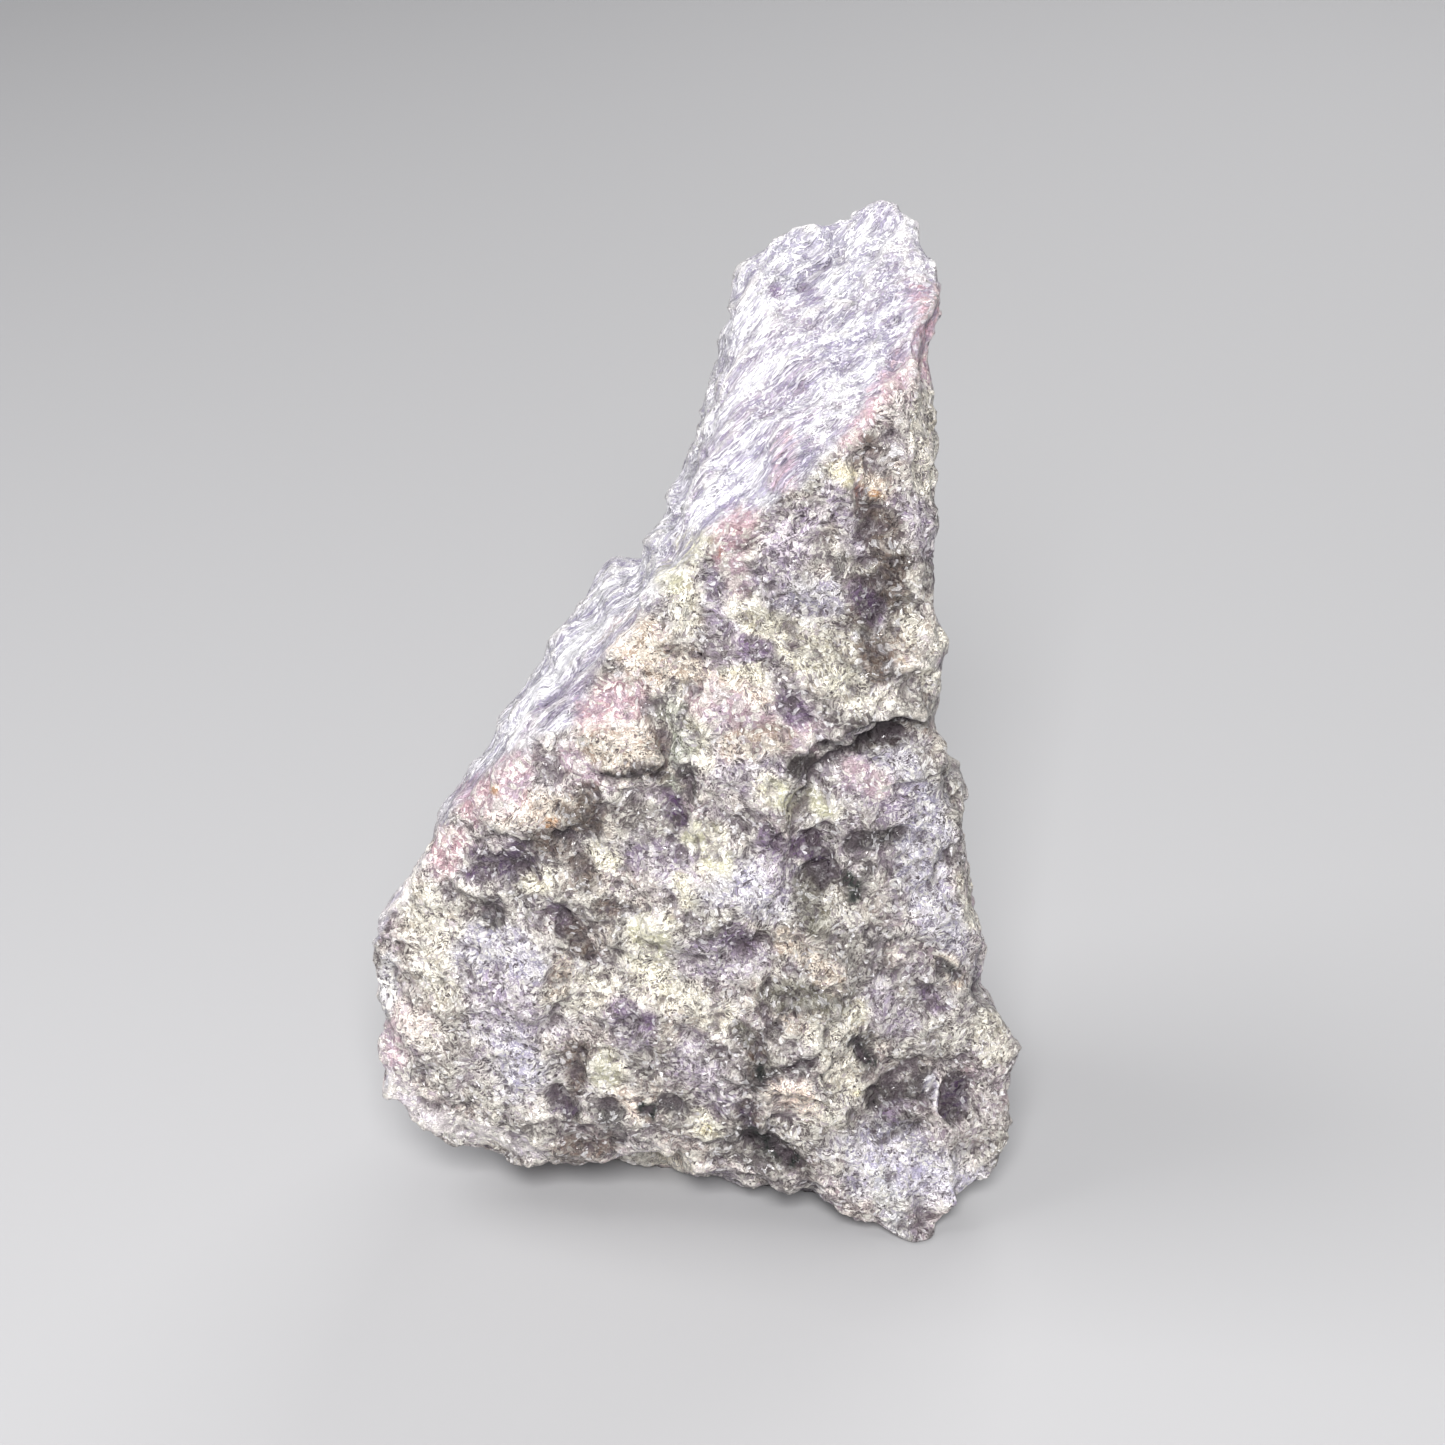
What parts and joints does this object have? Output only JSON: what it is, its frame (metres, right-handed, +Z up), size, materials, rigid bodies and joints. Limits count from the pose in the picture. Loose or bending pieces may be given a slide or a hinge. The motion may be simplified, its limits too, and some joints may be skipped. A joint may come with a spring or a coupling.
{
  "type": "raw mineral specimen",
  "caption": "Hand-sized rough piece of lilac lepidolite mica: a broad grainy face, a streaked pale face leaning back from its slanting edge, and a narrow head at the upper right",
  "frame": {"origin": "under the middle of the stone's bounding box, on the plane it stands on", "axes": "+Z up along the stone's height, the broad grainy face looks along -Y, the narrow head is towards +X"},
  "size_m": [0.047, 0.0314, 0.0727],
  "materials": {
    "lepidolite": "grainy, pearly and sparkling, with pale rims and violet hollows"
  },
  "bodies": {
    "root": {"lepidolite": "lepidolite"}
  },
  "joints": []
}
